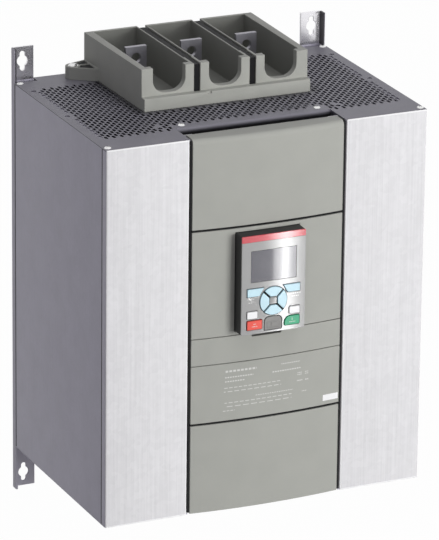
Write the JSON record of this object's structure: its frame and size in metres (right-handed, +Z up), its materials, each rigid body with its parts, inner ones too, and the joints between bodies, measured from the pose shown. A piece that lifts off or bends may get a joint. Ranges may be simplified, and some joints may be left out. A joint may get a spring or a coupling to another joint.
{
  "type": "soft starter",
  "caption": "Wall-mounted three-phase soft starter: folded steel housing, vented top, shrouded cable terminals, bowed plastic covers and a detachable keypad with sprung keys.",
  "frame": {"origin": "centre of the housing on the wall plane", "axes": "+X right seen from the front, +Y into the wall, +Z up"},
  "size_m": [0.435, 0.3354, 0.6075],
  "materials": {
    "steel": "galvanised sheet steel, satin",
    "galvanised": "bright galvanised sheet, satin",
    "shroud": "moulded grey plastic, fine texture",
    "cover": "moulded warm grey plastic, satin",
    "bright_metal": "zinc-plated steel",
    "tinned_bar": "tin-plated copper bar",
    "black_plastic": "black plastic, satin",
    "sink_aluminium": "extruded aluminium",
    "module_plastic": "dark moulded plastic",
    "circuit_board": "green circuit board",
    "terminal_plastic": "green terminal plastic",
    "keypad_plate": "light grey plastic, satin",
    "red_band": "glossy red overlay",
    "display": "dark display behind a clear lens",
    "rubber_mat": "silicone rubber",
    "grey_rubber": "grey rubber cap",
    "blue_key": "pale blue plastic",
    "white_key": "white plastic",
    "red_key": "red plastic",
    "green_key": "green plastic"
  },
  "bodies": {
    "housing": {"left_rail": "steel", "right_rail": "steel", "back_plate": "steel", "left_side_panel": "steel", "right_side_panel": "steel", "left_front_panel": "galvanised", "right_front_panel": "galvanised", "top_panel": "steel", "bottom_panel": "steel", "top_shroud": "shroud", "bottom_shroud": "shroud", "phase_barriers": "black_plastic", "shroud_bushes": "bright_metal", "shroud_screws": "bright_metal", "panel_screws": "bright_metal", "line_bar_1": "tinned_bar", "line_bar_2": "tinned_bar", "line_bar_3": "tinned_bar", "load_bar_1": "tinned_bar", "load_bar_2": "tinned_bar", "load_bar_3": "tinned_bar", "front_chassis": "black_plastic", "gap_strips": "black_plastic", "upper_cover": "cover", "control_cover": "cover", "hatch_cover": "cover", "rating_cover": "cover", "lower_cover": "cover", "heat_sink": "sink_aluminium", "thyristor_modules": "module_plastic", "bypass_contactors": "module_plastic", "current_transformers": "module_plastic", "control_board": "circuit_board", "board_standoffs": "bright_metal", "control_terminals": "terminal_plastic", "fan_frame_left": "black_plastic", "fan_frame_right": "black_plastic"},
    "keypad": {"keypad_housing": "black_plastic", "keypad_face": "keypad_plate", "keypad_band": "red_band", "display_lens": "display", "display_module": "module_plastic", "keypad_board": "circuit_board", "key_mat": "rubber_mat", "usb_socket": "bright_metal"},
    "soft_key_left": {"soft_key_left": "blue_key"},
    "soft_key_right": {"soft_key_right": "blue_key"},
    "cursor_up": {"cursor_up": "blue_key"},
    "cursor_right": {"cursor_right": "blue_key"},
    "cursor_down": {"cursor_down": "blue_key"},
    "cursor_left": {"cursor_left": "blue_key"},
    "info_key": {"info_key": "white_key"},
    "local_key": {"local_key": "white_key"},
    "stop_key": {"stop_key": "red_key"},
    "start_key": {"start_key": "green_key"},
    "usb_cover": {"usb_cover": "grey_rubber"},
    "fan_rotor_left": {"fan_rotor_left": "black_plastic"},
    "fan_rotor_right": {"fan_rotor_right": "black_plastic"}
  },
  "joints": [
    {"name": "keypad_pull", "type": "slide", "parent": "housing", "child": "keypad", "axis": [0, -1, 0], "range_m": [0, 0.03]},
    {"name": "soft_key_left_press", "type": "slide", "parent": "keypad", "child": "soft_key_left", "axis": [0, 1, 0], "range_m": [0, 0.0008], "stiffness_N_per_m": 500},
    {"name": "soft_key_right_press", "type": "slide", "parent": "keypad", "child": "soft_key_right", "axis": [0, 1, 0], "range_m": [0, 0.0008], "stiffness_N_per_m": 500},
    {"name": "cursor_up_press", "type": "slide", "parent": "keypad", "child": "cursor_up", "axis": [0, 1, 0], "range_m": [0, 0.0008], "stiffness_N_per_m": 500},
    {"name": "cursor_right_press", "type": "slide", "parent": "keypad", "child": "cursor_right", "axis": [0, 1, 0], "range_m": [0, 0.0008], "stiffness_N_per_m": 500},
    {"name": "cursor_down_press", "type": "slide", "parent": "keypad", "child": "cursor_down", "axis": [0, 1, 0], "range_m": [0, 0.0008], "stiffness_N_per_m": 500},
    {"name": "cursor_left_press", "type": "slide", "parent": "keypad", "child": "cursor_left", "axis": [0, 1, 0], "range_m": [0, 0.0008], "stiffness_N_per_m": 500},
    {"name": "info_key_press", "type": "slide", "parent": "keypad", "child": "info_key", "axis": [0, 1, 0], "range_m": [0, 0.0008], "stiffness_N_per_m": 500},
    {"name": "local_key_press", "type": "slide", "parent": "keypad", "child": "local_key", "axis": [0, 1, 0], "range_m": [0, 0.0008], "stiffness_N_per_m": 500},
    {"name": "stop_key_press", "type": "slide", "parent": "keypad", "child": "stop_key", "axis": [0, 1, 0], "range_m": [0, 0.0008], "stiffness_N_per_m": 500},
    {"name": "start_key_press", "type": "slide", "parent": "keypad", "child": "start_key", "axis": [0, 1, 0], "range_m": [0, 0.0008], "stiffness_N_per_m": 500},
    {"name": "usb_cover_hinge", "type": "hinge", "parent": "keypad", "child": "usb_cover", "pos_m": [-0.0022, -0.3345, -0.005], "axis": [1, 0, 0], "range_deg": [0, 90]},
    {"name": "fan_rotor_left_spin", "type": "hinge", "parent": "housing", "child": "fan_rotor_left", "pos_m": [-0.15675, -0.106, -0.23], "axis": [0, 0, 1], "continuous": true},
    {"name": "fan_rotor_right_spin", "type": "hinge", "parent": "housing", "child": "fan_rotor_right", "pos_m": [0.15675, -0.106, -0.23], "axis": [0, 0, 1], "continuous": true}
  ]
}
